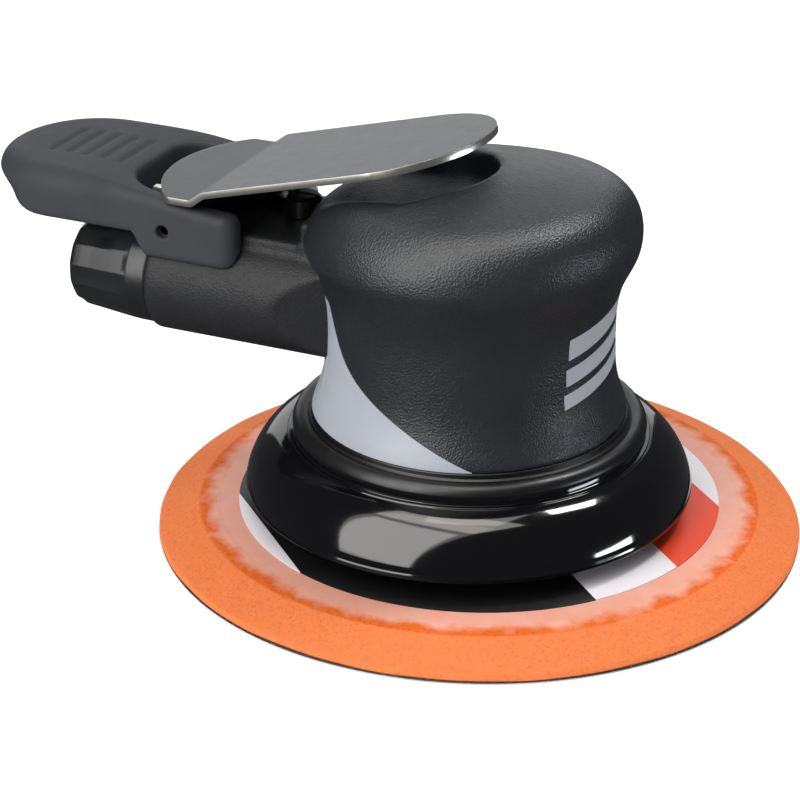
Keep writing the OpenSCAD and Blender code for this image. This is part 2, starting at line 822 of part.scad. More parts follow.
pad_face();
pad_foam();
pad_hub();
pad_plate();
pad_label();
pad_stud();
spindle();
spindle_ring();
spindle_inner_race();
spindle_ball_cage();
spindle_outer_race();
shaft_balancer();
lower_inner_race();
lower_ball_cage();
lower_outer_race();
lower_bearing_plate();
cylinder_liner();
rotor();
rotor_key();
vane(1);  // vane_1
vane(2);  // vane_2
vane(3);  // vane_3
vane(4);  // vane_4
vane(5);  // vane_5
upper_bearing_plate();
upper_inner_race();
upper_ball_cage();
upper_outer_race();
shaft_ring();
locating_pin();
motor_housing();
lock_ring();
shroud();
palm_grip();
wrist_platform();
throttle_lever();
lever_pin();
valve_stem();
valve_poppet();
valve_spring();
valve_seat();
valve_guide();
stem_seal();
speed_regulator();
regulator_seal();
inlet_bushing();
inlet_screen();
muffler_cap();
muffler_felt();
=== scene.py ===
"""Looks of a palm-grip random orbital air sander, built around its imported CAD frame.

Shapes are written in millimetres, in the CAD's own axes, and become metres in add_piece().
"""

import json
import math

import bmesh
import bpy
import numpy as np
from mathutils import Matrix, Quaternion, Vector


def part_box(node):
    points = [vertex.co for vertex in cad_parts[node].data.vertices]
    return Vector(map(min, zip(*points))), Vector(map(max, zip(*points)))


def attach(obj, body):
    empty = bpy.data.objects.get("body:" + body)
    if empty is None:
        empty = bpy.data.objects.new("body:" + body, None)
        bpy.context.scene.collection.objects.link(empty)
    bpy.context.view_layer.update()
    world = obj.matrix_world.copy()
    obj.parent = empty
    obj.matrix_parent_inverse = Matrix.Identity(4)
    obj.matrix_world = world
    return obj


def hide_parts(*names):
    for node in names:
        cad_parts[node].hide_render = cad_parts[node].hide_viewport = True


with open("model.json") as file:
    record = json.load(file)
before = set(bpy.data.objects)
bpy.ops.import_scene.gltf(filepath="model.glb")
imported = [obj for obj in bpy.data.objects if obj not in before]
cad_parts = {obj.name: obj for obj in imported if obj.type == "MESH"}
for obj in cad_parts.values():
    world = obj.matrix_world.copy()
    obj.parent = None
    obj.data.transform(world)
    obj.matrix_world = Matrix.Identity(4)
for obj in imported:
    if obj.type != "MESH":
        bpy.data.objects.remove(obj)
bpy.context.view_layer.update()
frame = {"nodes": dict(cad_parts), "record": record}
slot_of = {s["node"]: s["material_slot"] for s in frame["record"]["subparts"]}

MM = 0.001
pad_low, pad_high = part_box("pad_hub")
PAD_AXIS = ((pad_low.x + pad_high.x) / 2 / MM, (pad_low.y + pad_high.y) / 2 / MM)


# ---- shape functions: distances in mm, negative inside ----

def smax(a, b, k):
    """Larger of two distances, rounded over a width of k."""
    h = np.maximum(k - np.abs(a - b), 0) / k
    return np.maximum(a, b) + h * h * k / 4


def smin(a, b, k):
    return -smax(-a, -b, k)


def ramp(v, low, high):
    """0 below low, 1 above high, smooth between."""
    t = np.clip((v - low) / (high - low), 0, 1)
    return t * t * (3 - 2 * t)


def slab(v, low, high):
    return np.maximum(low - v, v - high)


def block(x, y, z, xs, ys, zs, k):
    return smax(smax(slab(x, *xs), slab(y, *ys), k), slab(z, *zs), k)


def rod_x(x, y, z, xs, y0, z0, r, k=0.6):
    return smax(np.hypot(y - y0, z - z0) - r, slab(x, *xs), k)


def rod_y(x, y, z, x0, z0, r, half, k=0.4):
    return smax(np.hypot(x - x0, z - z0) - r, np.abs(y) - half, k)


def rod_z(x, y, z, x0, y0, r, zs, k=0.6):
    return smax(np.hypot(x - x0, y - y0) - r, slab(z, *zs), k)


def rounded_rect(x, y, x0, x1, half, r):
    qx = np.maximum(x0 + r - x, x - x1 + r)
    qy = np.abs(y) - half + r
    outside = np.hypot(np.maximum(qx, 0), np.maximum(qy, 0))
    return outside + np.minimum(np.maximum(qx, qy), 0) - r


def gradient(field, p, h=0.04):
    g = np.empty_like(p)
    for axis in range(3):
        up, down = p.copy(), p.copy()
        up[:, axis] += h
        down[:, axis] -= h
        g[:, axis] = (field(*up.T) - field(*down.T)) / (2 * h)
    return g


def project(field, p, reach):
    """Moves points onto the surface, by at most reach."""
    g = gradient(field, p)
    step = (field(*p.T) / np.maximum((g * g).sum(1), 0.1))[:, None] * g
    length = np.linalg.norm(step, axis=1, keepdims=True)
    return p - step * np.minimum(1, reach / np.maximum(length, 1e-9))


def surface_net(field, low, high, step, rounds=3):
    """Closed quad mesh of the surface where the field is zero."""
    axes = [np.arange(a, b + step, step) for a, b in zip(low, high)]
    value = field(*np.meshgrid(*axes, indexing="ij"))
    inside = value < 0
    cells = np.array(value.shape) - 1
    total = np.zeros((*cells, 3))
    count = np.zeros(cells)
    rings = []
    for axis in range(3):
        u, w = (axis + 1) % 3, (axis + 2) % 3
        first = tuple(slice(0, -1) if a == axis else slice(None) for a in range(3))
        second = tuple(slice(1, None) if a == axis else slice(None) for a in range(3))
        edge = np.argwhere(inside[first] != inside[second])
        a, b = value[first][tuple(edge.T)], value[second][tuple(edge.T)]
        point = edge.astype(float)
        point[:, axis] += a / (a - b)
        around = []
        for du, dw in ((0, 0), (-1, 0), (-1, -1), (0, -1)):
            cell = edge.copy()
            cell[:, u] += du
            cell[:, w] += dw
            total[tuple(cell.T)] += point
            count[tuple(cell.T)] += 1
            around.append(np.ravel_multi_index(tuple(cell.T), tuple(cells)))
        ring = np.stack(around, 1)
        ring[a > 0] = ring[a > 0][:, ::-1]
        rings.append(ring)
    used = np.flatnonzero(count.ravel())
    number = np.full(count.size, -1)
    number[used] = np.arange(len(used))
    quads = number[np.concatenate(rings)]
    p = total.reshape(-1, 3)[used] / count.ravel()[used][:, None] * step + np.array(low)
    p = project(field, p, step / 2)
    for _ in range(rounds):
        near, links = np.zeros_like(p), np.zeros(len(p))
        for a, b in ((0, 1), (1, 2), (2, 3), (3, 0)):
            for i, j in ((quads[:, a], quads[:, b]), (quads[:, b], quads[:, a])):
                for axis in range(3):
                    near[:, axis] += np.bincount(i, p[j, axis], len(p))
                links += np.bincount(i, minlength=len(p))
        p = project(field, p + 0.5 * (near / links[:, None] - p), step / 2)
    return p, quads.tolist()


def rounded(corners, closed=True, segments=5):
    """Outline with its corners rounded. Each corner is (x, y, radius)."""
    points, n = [], len(corners)
    for i, (x, y, r) in enumerate(corners):
        here = np.array([x, y], float)
        if r == 0 or (not closed and i in (0, n - 1)):
            points.append(here)
            continue
        back = np.array(corners[i - 1][:2]) - here
        ahead = np.array(corners[(i + 1) % n][:2]) - here
        reach_b, reach_a = np.linalg.norm(back), np.linalg.norm(ahead)
        back, ahead = back / reach_b, ahead / reach_a
        half = math.acos(np.clip(back @ ahead, -1, 1)) / 2
        cut = min(r / math.tan(half), reach_b * 0.48, reach_a * 0.48)
        for t in np.linspace(0, 1, segments + 1):
            points.append(here + (1 - t) ** 2 * cut * back + t ** 2 * cut * ahead)
    return points


def lathe(outline, segments, centre=(0, 0), radius=None):
    """Surface of revolution of a closed outline of (r, z) points; r = 0 gives a pole.
    radius(r, z, angle) may change each ring's radius round the axis."""
    angle = np.linspace(0, 2 * math.pi, segments, endpoint=False)
    vertices, rings = [], []
    for r, z in outline:
        if r < 1e-6:
            rings.append([len(vertices)] * segments)
            vertices.append((centre[0], centre[1], z))
            continue
        rr = radius(r, z, angle) if radius else np.full(segments, r)
        rings.append(list(range(len(vertices), len(vertices) + segments)))
        vertices += zip(centre[0] + rr * np.cos(angle), centre[1] + rr * np.sin(angle), [z] * segments)
    faces = []
    for a, b in zip(rings, rings[1:] + rings[:1]):
        for i in range(segments):
            j = (i + 1) % segments
            corners = list(dict.fromkeys((a[i], a[j], b[j], b[i])))
            if len(corners) > 2:
                faces.append(corners)
    return np.array(vertices), faces


def shell(outer, inner):
    """Closed thin solid between two equal grids of points (rows, columns, 3)."""
    rows, columns = outer.shape[:2]
    front = np.arange(rows * columns).reshape(rows, columns)
    back = front + rows * columns
    faces = []
    for i in range(rows - 1):
        for j in range(columns - 1):
            faces.append([front[i, j], front[i, j + 1], front[i + 1, j + 1], front[i + 1, j]])
            faces.append([back[i, j], back[i + 1, j], back[i + 1, j + 1], back[i, j + 1]])
    edge = [(0, j) for j in range(columns)]
    edge += [(i, columns - 1) for i in range(1, rows)]
    edge += [(rows - 1, j) for j in range(columns - 2, -1, -1)]
    edge += [(i, 0) for i in range(rows - 2, 0, -1)]
    for a, b in zip(edge, edge[1:] + edge[:1]):
        faces.append([front[a], back[a], back[b], front[b]])
    vertices = np.concatenate([outer.reshape(-1, 3), inner.reshape(-1, 3)])
    return vertices, [[int(v) for v in f] for f in faces]


def add_piece(name, vertices, faces, body, looks, replaces=(), sharp=50, face_look=None):
    """One mesh piece on a body. Edges over sharp degrees stay crisp."""
    mesh = bpy.data.meshes.new(name)
    mesh.from_pydata((np.asarray(vertices) * MM).tolist(), [], faces)
    for look in looks:
        mesh.materials.append(look)
    if face_look is not None:
        mesh.polygons.foreach_set("material_index", face_look)
    bm = bmesh.new()
    bm.from_mesh(mesh)
    bmesh.ops.recalc_face_normals(bm, faces=bm.faces)
    bm.to_mesh(mesh)
    bm.free()
    mesh.shade_smooth()
    mesh.set_sharp_from_angle(angle=math.radians(sharp))
    piece = bpy.data.objects.new(name, mesh)
    bpy.context.scene.collection.objects.link(piece)
    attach(piece, body)
    if replaces:
        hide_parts(*replaces)
    return piece


# ---- materials ----

BLACK = (0.0, 0.0, 0.0, 1.0)
NEARLY_BLACK = 0.05


def srgb(r, g, b):
    return tuple(((c / 255 + 0.055) / 1.055) ** 2.4 for c in (r, g, b)) + (1.0,)


class Look:
    """One procedural material. Lengths are in mm."""

    def __init__(self, name, colour, rough, metal=0.0, **shader):
        self.material = bpy.data.materials.new(name)
        self.material.use_nodes = True
        self.tree = self.material.node_tree
        self.shader = self.tree.nodes["Principled BSDF"]
        self.shader.inputs["Base Color"].default_value = colour
        self.shader.inputs["Roughness"].default_value = rough
        self.shader.inputs["Metallic"].default_value = metal
        for socket, value in shader.items():
            self.shader.inputs[socket.replace("_", " ")].default_value = value
        self.colour = colour
        self.place = self.node("ShaderNodeTexCoord").outputs["Object"]
        self.normal = None

    def node(self, kind, settings=None, **sockets):
        """A new node. A socket is given by its name, or by its number as in _0."""
        node = self.tree.nodes.new(kind)
        for key, value in (settings or {}).items():
            setattr(node, key, value)
        for socket, value in sockets.items():
            target = node.inputs[int(socket[1:]) if socket[1:].isdigit() else socket.replace("_", " ")]
            if isinstance(value, bpy.types.NodeSocket):
                self.tree.links.new(value, target)
            else:
                target.default_value = value
        return node

    def noise(self, size, detail=3.0, stretch=(1, 1, 1), roughness=0.55):
        place = self.node("ShaderNodeMapping", Vector=self.place, Scale=stretch).outputs["Vector"]
        return self.node("ShaderNodeTexNoise", Vector=place, Scale=1 / (size * MM), Detail=detail,
                         Roughness=roughness).outputs["Fac"]

    def cells(self, size, feature="F1", **sockets):
        return self.node("ShaderNodeTexVoronoi", {"feature": feature}, Vector=self.place,
                         Scale=1 / (size * MM), **sockets).outputs["Distance"]

    def span(self, value, low, high, to_low=0.0, to_high=1.0):
        return self.node("ShaderNodeMapRange", Value=value, From_Min=low, From_Max=high,
                         To_Min=to_low, To_Max=to_high).outputs["Result"]

    def calc(self, operation, a, b):
        return self.node("ShaderNodeMath", {"operation": operation}, _0=a, _1=b).outputs[0]

    def mix(self, factor, a, b):
        return self.node("ShaderNodeMix", {"data_type": "RGBA"}, _0=factor, _6=a, _7=b).outputs[2]

    def paint(self, factor, other):
        """Blends the colour towards other by factor."""
        self.colour = self.mix(factor, self.colour, other)
        self.tree.links.new(self.colour, self.shader.inputs["Base Color"])
        return self

    def vary(self, size, amount):
        """Darker patches on the base colour, or lighter ones where it is nearly black."""
        factor = self.span(self.noise(size), 0.35, 0.65, 0.0, amount)
        patch = BLACK
        if sum(self.colour[:3]) <= NEARLY_BLACK:
            patch = tuple(min(1, v * 2.2 + 0.004) for v in self.colour[:3]) + (1.0,)
        return self.paint(factor, patch)

    def rough_map(self, size, low, high):
        value = self.span(self.noise(size, 2.0), 0.3, 0.7, low, high)
        self.tree.links.new(value, self.shader.inputs["Roughness"])
        return self

    def bump(self, height, depth):
        sockets = dict(Height=height, Distance=depth * MM, Strength=1.0)
        if self.normal is not None:
            sockets["Normal"] = self.normal
        self.normal = self.node("ShaderNodeBump", **sockets).outputs["Normal"]
        self.tree.links.new(self.normal, self.shader.inputs["Normal"])
        return self


def leather(name, colour, rough, depth=0.075, **shader):
    """Moulded leather grain: soft irregular cells with fine noise over them."""
    look = Look(name, colour, rough, **shader)
    look.vary(9.0, 0.12).rough_map(3.0, rough - 0.03, rough + 0.04)
    look.bump(look.span(look.cells(0.5, "SMOOTH_F1", Smoothness=0.25), 0.0, 0.75), depth)
    look.bump(look.noise(0.3, 2.0), depth * 0.5)
    return look.material


def plastic(name, colour, rough, grain=0.4, depth=0.02, patches=0.12, **shader):
    """Moulded plastic, rubber, film or felt, by the size and depth of its grain."""
    look = Look(name, colour, rough, **shader)
    look.vary(6.0, patches).rough_map(2.5, rough * 0.9, rough * 1.1)
    return look.bump(look.noise(grain), depth).material


def metal(name, colour, rough, stretch=(1, 1, 1)):
    """Machined metal, with tool marks where the grain is stretched."""
    look = Look(name, colour, rough, 1.0)
    look.vary(5.0, 0.18).rough_map(1.5, rough * 0.8, rough * 1.2)
    return look.bump(look.noise(0.5, 4.0, stretch), 0.01).material


grip_look = leather("grip_leather_grain", srgb(34, 37, 41), 0.38)
housing_look = leather("housing_leather_grain", srgb(37, 38, 40), 0.46, 0.08, Specular_IOR_Level=0.25)
shroud_look = plastic("shroud_gloss_black", srgb(10, 10, 12), 0.09, 10.0, 0.02, 0.03, Coat_Weight=0.35,
                      Coat_Roughness=0.04)
bead_look = plastic("shroud_satin_bead", srgb(12, 12, 14), 0.36, 4.0, 0.01, 0.03)
cap_look = plastic("cap_satin_black", srgb(26, 27, 29), 0.32, 0.8, 0.008)
knob_look = plastic("knob_gloss_black", srgb(16, 16, 18), 0.16, 2.0, 0.01)
flash_look = plastic("flash_grey_film", srgb(157, 161, 169), 0.42, 0.8, 0.008, 0.03)

platform = Look("platform_satin_charcoal", srgb(59, 61, 64), 0.52, Specular_IOR_Level=0.12)
platform.vary(10.0, 0.12).rough_map(4.0, 0.49, 0.55)
platform.bump(platform.noise(0.5, 3.0), 0.02)
platform_look = platform.material

steel = Look("lever_satin_steel", srgb(94, 94, 95), 0.36, 1.0)
steel.vary(14.0, 0.04).rough_map(3.0, 0.34, 0.38)
steel.bump(steel.noise(0.25, 4.0, (0.15, 1, 1)), 0.006)
steel_look = steel.material
edge_steel = Look("lever_polished_edge", srgb(236, 234, 224), 0.30, 1.0)
steel_edge_look = edge_steel.bump(edge_steel.noise(0.6), 0.0015).material


FOAM_BASE, FOAM_DEEP, FOAM_PALE = srgb(226, 103, 26), srgb(222, 95, 15), srgb(238, 128, 72)
# The crease colour is a painted highlight, and the pore colour is painted shade.
FOAM_SPECK, FOAM_PORE_SHADE, FOAM_CREASE_HIGHLIGHT = srgb(196, 72, 24), srgb(150, 44, 18), srgb(250, 180, 130)
PINK_DEEP, PINK_PALE = srgb(232, 160, 136), srgb(232, 176, 160)
CREASE_R = 66.2


def from_pad_axis(look):
    """Distance from the pad's axis, in metres."""
    away = look.node("ShaderNodeVectorMath", {"operation": "SUBTRACT"}, _0=look.place,
                     _1=(PAD_AXIS[0] * MM, PAD_AXIS[1] * MM, 0)).outputs[0]
    away = look.node("ShaderNodeVectorMath", {"operation": "MULTIPLY"}, _0=away, _1=(1, 1, 0)).outputs[0]
    return look.node("ShaderNodeVectorMath", {"operation": "LENGTH"}, _0=away).outputs["Value"]


def cast_pad(name, rough, **shader):
    """Pink urethane in the middle that fades softly into orange foam at the rim."""
    look = Look(name, FOAM_BASE, rough, Subsurface_Radius=(1.0, 0.4, 0.2), **shader)
    far = from_pad_axis(look)
    look.paint(look.span(look.noise(9.0, 4.0), 0.4, 0.7, 0.0, 0.5), FOAM_DEEP)
    look.paint(look.span(look.noise(2.0, 4.0), 0.5, 0.8, 0.0, 0.4), FOAM_PALE)
    look.paint(look.span(look.noise(0.8, 3.0), 0.52, 0.66, 0.0, 0.6), FOAM_SPECK)
    bevel = look.span(far, (CREASE_R - 0.3) * MM, (CREASE_R + 0.7) * MM)
    pores = look.span(look.cells(0.7), 0.0, 0.24, 1.0, 0.0)
    holes = look.calc("MULTIPLY", pores, look.span(look.noise(1.3), 0.46, 0.56))
    holes = look.calc("MULTIPLY", holes, bevel)
    # Painted shade: the pores on the bevel are darkened, and the bump below sinks them.
    look.paint(holes, FOAM_PORE_SHADE)
    wander = look.span(look.noise(6.5, 3.0, roughness=0.5), 0.3, 0.7, -1.8 * MM, 1.8 * MM)
    edge = look.calc("ADD", far, wander)
    pink = look.mix(look.span(look.noise(6.0, 4.0), 0.4, 0.7, 0.0, 0.6), PINK_DEEP, PINK_PALE)
    look.colour = look.mix(look.span(edge, 62.1 * MM, 65.1 * MM), pink, look.colour)
    # Painted highlight: a pale line runs along the crease; the bevel outside it is a little paler too.
    crease = look.span(look.calc("SUBTRACT", far, CREASE_R * MM), -0.25 * MM, 0.25 * MM)
    look.paint(look.calc("PINGPONG", crease, 0.3), FOAM_CREASE_HIGHLIGHT)
    look.bump(look.noise(0.8, 4.0), 0.03)
    look.bump(look.span(holes, 0.0, 1.0, 1.0, 0.0), 0.10)
    return look.material


foam_look = cast_pad("pad_orange_foam", 0.66, Specular_IOR_Level=0.15, Subsurface_Weight=0.12,
                     Subsurface_Scale=0.002)
urethane_look = cast_pad("pad_pink_urethane", 0.46, Specular_IOR_Level=0.3, Subsurface_Weight=0.2,
                         Subsurface_Scale=0.003)

sheet = Look("pad_dark_vinyl", srgb(44, 41, 40), 0.5)
sheet.vary(3.0, 0.15)
sheet.paint(sheet.span(sheet.noise(0.5), 0.6, 0.68, 0.0, 0.7), srgb(176, 158, 140))
sheet.bump(sheet.noise(0.5), 0.04)
face_look = sheet.material
print_black = plastic("print_black", srgb(17, 17, 19), 0.36, 1.5, 0.004, 0.03, Specular_IOR_Level=0.3)
print_white = plastic("print_white", srgb(230, 224, 228), 0.38, 1.5, 0.004, 0.02, Specular_IOR_Level=0.3)
print_red = plastic("print_red_orange", srgb(228, 68, 32), 0.36, 1.5, 0.004, 0.03, Specular_IOR_Level=0.3)

slot_look = {
    "pad_face_vinyl": face_look, "pad_foam": foam_look, "pad_urethane": urethane_look,
    "glass_fibre": plastic("plate_glass_fibre", srgb(206, 186, 120), 0.45, 1.2, 0.05),
    "printed_label": print_black,
    "zinc_steel": metal("bushing_zinc_steel", srgb(186, 188, 192), 0.30),
    "machined_steel": metal("shaft_turned_steel", srgb(168, 170, 174), 0.28, (1, 1, 12)),
    "spring_steel": metal("spring_dark_steel", srgb(110, 112, 116), 0.35),
    "bearing_steel": metal("bearing_ground_steel", srgb(205, 207, 210), 0.16),
    "bearing_cage": metal("cage_brass", srgb(206, 166, 90), 0.30),
    "plate_aluminium": metal("plate_aluminium", srgb(196, 198, 201), 0.34, (1, 1, 8)),
    "vane_composite": plastic("vane_phenolic", srgb(120, 78, 44), 0.55, 0.8, 0.04),
    "housing_composite": housing_look, "shroud_gloss": shroud_look, "grip_rubber": grip_look,
    "platform_rubber": platform_look, "lever_steel": steel_look,
    "seal_rubber": plastic("seal_nitrile", srgb(34, 34, 35), 0.5),
    "valve_brass": metal("valve_brass", srgb(216, 178, 104), 0.26),
    "black_acetal": knob_look, "cap_composite": cap_look,
    "felt": plastic("muffler_wool_felt", srgb(150, 153, 142), 0.9, 0.5, 0.25),
}


# ---- grip ----

GRIP_Z = 30.2
# The wall's profile, as (radius, height)
WAIST = [(37.1, 30.2), (36.2, 32.2), (34.9, 35.4), (34.0, 38.6), (33.5, 42.4), (33.3, 47.0),
         (33.15, 52.0), (33.3, 56.8), (33.8, 60.6), (35.2, 64.6), (38.3, 70.4), (38.6, 72.0),
         (38.6, 77.0), (38.4, 110.0)]
BOSS_HALF = 15.9
# Outer radius of the exhaust port (side -1) and of the inlet port (side 1)
PORTS = {-1: 13.1, 1: 11.8}
PORT_Y, PORT_Z, PORT_END = 10.5, 54.7, 73.0
DRUM_R, DRUM_TOP = 29.5, 75.0
PALM_TOP, PALM_CURVE = 88.25, 205
CHANNEL_HALF, CHANNEL_FRONT, CHANNEL_FLOOR = 17.4, 5.0, 79.4
GAP = 0.1


def wall_table(blur):
    """Radius of the grip's wall at heights 0.1 mm apart, smoothed over blur."""
    z = np.arange(20, 110, 0.1)
    r = np.interp(z, [p[1] for p in WAIST], [p[0] for p in WAIST])
    reach = int(30 * blur)
    kernel = np.exp(-0.5 * (np.arange(-reach, reach + 1) * 0.1 / blur) ** 2)
    return z, np.convolve(np.pad(r, reach, mode="edge"), kernel / kernel.sum(), "valid")


WALL_Z, WALL_CRISP = wall_table(0.35)
WALL_SOFT = wall_table(2.0)[1]


def grip_radius(azimuth, z):
    """The crease under the palm bulge fades towards the front."""
    crisp = np.interp(z, WALL_Z, WALL_CRISP)
    soft = np.interp(z, WALL_Z, WALL_SOFT)
    crease = ramp(np.abs(azimuth), 0.5, 1.1) * ramp(z, 64, 67)
    return soft + (crisp - soft) * crease


def crown(x, y):
    """Height of the palm's top, which the pressed lever just clears."""
    drop = (x - 8) ** 2 / np.where(x > 8, 230, 420) + np.maximum(-16 - x, 0) ** 2 / 80
    return PALM_TOP - y * y / PALM_CURVE - drop


def stadium(x, y, half, front):
    """Distance to the lever channel's outline: open at the rear, round at the front."""
    return np.hypot(np.maximum(x - (front - half), 0), y) - half


def port(x, y, z, side, grow=0.0, k=0.7):
    """A rear port: round, with a flat on its outer side that deepens towards the grip."""
    r = PORTS[side] + grow
    around = np.hypot(y - side * PORT_Y, z - PORT_Z) - r
    tilt = math.radians(20)
    flat = (x + 40) * math.sin(tilt) + (side * y - PORT_Y - PORTS[side]) * math.cos(tilt) - grow
    return smax(smax(around, flat, 0.35), slab(x, -PORT_END - grow * 10, -20), k)


def grip_field(x, y, z):
    azimuth, r = np.arctan2(y, x), np.hypot(x, y)
    body = smax(r - grip_radius(azimuth, z), z - crown(x, y), 10.0)
    body = smax(body, GRIP_Z - z, 0.5)
    rim = 1.5 + 3.2 * ramp(-x, 1, 9) - 1.2 * ramp(-x, 18, 26)
    channel = smax(stadium(x, y, CHANNEL_HALF, CHANNEL_FRONT), CHANNEL_FLOOR - z, 8.0)
    body = smax(body, -channel, rim)
    drum = smax(r - DRUM_R - GAP, z - DRUM_TOP - GAP, 0.3)
    boss = (-BOSS_HALF - GAP, BOSS_HALF + GAP)
    window = block(x, y, z, (-60, 0), boss, (48.6, 75.1), 0.4)
    for hole in (drum, window, port(x, y, z, -1, GAP), port(x, y, z, 1, GAP)):
        body = smax(body, -hole, 0.5)
    return body


vertices, faces = surface_net(grip_field, (-41, -41, 28), (41, 41, 91), 0.8)
add_piece("palm_grip_skin", vertices, faces, "body", [grip_look], ["palm_grip"], 60)


# ---- flash and side mark: thin films on the waist ----

FILM_ROWS, FILM_PROUD, FILM_DEPTH = 14, 0.10, 0.4


def film(name, columns):
    """A film on the grip's waist. Each column is (azimuth in degrees, lower z, upper z)."""
    columns = np.array(columns)
    azimuth = np.radians(columns[:, :1])
    t = np.linspace(0, 1, FILM_ROWS)[None]
    z = columns[:, 1:2] + (columns[:, 2:3] - columns[:, 1:2]) * t
    azimuth = np.broadcast_to(azimuth, z.shape)
    turned = np.arctan2(np.sin(azimuth), np.cos(azimuth))
    grids = []
    for offset in (FILM_PROUD, -FILM_DEPTH):
        r = grip_radius(turned, z) + offset
        grids.append(np.stack([r * np.cos(azimuth), r * np.sin(azimuth), z], 2))
    vertices, faces = shell(*grids)
    add_piece(name, vertices, faces, "body", [flash_look])


def flash_top(azimuth):
    """Upper edge of the flash, kept clear of the ports."""
    t = min((abs(azimuth - 360 if azimuth > 180 else azimuth) - 66) / 74, 1.0)
    top = GRIP_Z + 20.5 * t + 9 * t ** 8
    y = 33.4 * math.sin(math.radians(azimuth))
    side = 1 if y > 0 else -1
    r = PORTS[side] + 0.5
    if abs(y) < (18.6 if side < 0 else 17.9):
        top = min(top, 48.2)
        across = abs(abs(y) - PORT_Y)
        if across < r:
            top = min(top, PORT_Z - math.sqrt(r * r - across * across))
    return top


# Extra columns beside the ports, where the flash's upper edge steps down.
STEP_COLUMNS = [147.4, 147.5, 147.6, 213.7, 213.8, 213.9]
film("grey_flash", [(a, GRIP_Z + 0.12, max(flash_top(a), GRIP_Z + 0.16))
                    for a in np.unique(np.concatenate([np.arange(66.2, 294, 0.8), STEP_COLUMNS]))])

BAR_WIDTH, BAR_LEAN = 46, 4.2


def slanted_bar(name, start, z0, z1):
    """A plain bar on the waist that leans to one side."""
    film(name, [(start + BAR_WIDTH * t, z0 + BAR_LEAN * t, z1 + BAR_LEAN * t)
                for t in np.linspace(0, 1, 24)])


slanted_bar("side_bar_upper", -27, 52.6, 57.6)
slanted_bar("side_bar_middle", -28, 46.4, 50.4)
slanted_bar("side_bar_lower", -29, 41.0, 44.4)


# ---- motor housing with its ports ----

LUG_Y = (12.1, 14.7)
PIVOT = (-67.9, 69.7)    # x and z of the lever pin's axis
PIN_HOLE_R = 1.62
VALVE = (-50.0, 10.5)    # x and y of the valve's axis
KNOB = (-43.5, 2.5)      # x and y of the regulator's axis
MOTOR_R, EXHAUST_R, THROAT_R, INLET_R, VALVE_R, KNOB_R = 26.4, 9.4, 6.0, 8.4, 5.0, 3.45
PASSAGE_R, PASSAGE_Z = 2.3, 59.4


def housing_field(x, y, z):
    r = np.hypot(x, y)
    body = smax(r - DRUM_R, slab(z, 24.6, DRUM_TOP), 0.8)
    rear = smin(port(x, y, z, -1, k=1.4), port(x, y, z, 1, k=1.4), 0.8)
    half = (-BOSS_HALF, BOSS_HALF)
    for end, z0, z1 in ((PORT_END, 48.7, 65.0), (59.0, 60.0, 69.5), (36.0, 60.0, DRUM_TOP)):
        rear = smin(rear, block(x, y, z, (-end, -15), half, (z0, z1), 1.4), 1.4)
    tongue = smax(smax(np.abs(x - PIVOT[0]) - 4, slab(z, 60, PIVOT[1]), 0.3), np.abs(y) - 11.8, 0.6)
    tongue = smin(tongue, rod_y(x, y, z, *PIVOT, 4.0, 11.8, 0.6), 0.2)
    body = smin(body, smin(rear, tongue, 1.2), 0.6)
    holes = [
        rod_z(x, y, z, 0, 0, MOTOR_R, (20, 70), 0.4),
        rod_z(x, y, z, 0, 0, 9.0, (69, 72), 0.4),
        rod_x(x, y, z, (-80, -34), -PORT_Y, PORT_Z, EXHAUST_R),
        rod_x(x, y, z, (-35, -20), -PORT_Y, PORT_Z, THROAT_R),
        rod_x(x, y, z, (-80, -59), PORT_Y, PORT_Z, INLET_R),
        rod_x(x, y, z, (-60, -58), PORT_Y, PORT_Z, 6.0, 0.3),
        rod_x(x, y, z, (-59, -50), PORT_Y, 50.6, 3.0, 0.3),
        rod_z(x, y, z, *VALVE, VALVE_R, (46, 90), 0.4),
        rod_z(x, y, z, *KNOB, KNOB_R, (55.4, 90), 0.4),
        rod_x(x, y, z, (-43.5, -20), KNOB[1], PASSAGE_Z, PASSAGE_R, 0.3),
        rod_y(x, y, z, *PIVOT, PIN_HOLE_R, 30),
        block(x, np.abs(y), z, (-80, -63.2), LUG_Y, (65.4, 90), 0.4),
    ]
    # The passage from the valve to the regulator
    slant = np.array([KNOB[0] - VALVE[0], KNOB[1] - VALVE[1]])
    slant /= np.linalg.norm(slant)
    along = (x - VALVE[0]) * slant[0] + (y - VALVE[1]) * slant[1]
    across = -(x - VALVE[0]) * slant[1] + (y - VALVE[1]) * slant[0]
    holes.append(smax(np.hypot(across, z - PASSAGE_Z) - PASSAGE_R, slab(along, 0, 10.3), 0.3))
    for hole in holes:
        body = smax(body, -hole, 0.5)
    return body


vertices, faces = surface_net(housing_field, (-75, -32, 23), (32, 32, 77), 0.8)
add_piece("rear_housing", vertices, faces, "body", [housing_look],
          ["motor_housing"])


# ---- wrist platform ----

RECESS_HALF = 16.2
PLATFORM_END, PLATFORM_HALF, NOSE_R = 120.6, 22.3, 22
PLATFORM_TOP, CHEEK_TOP = 79.9, 74.9
GROOVES, GROOVE_X, GROOVE_STEP, GROOVE_HALF = 5, -105.0, 4.6, 7.5


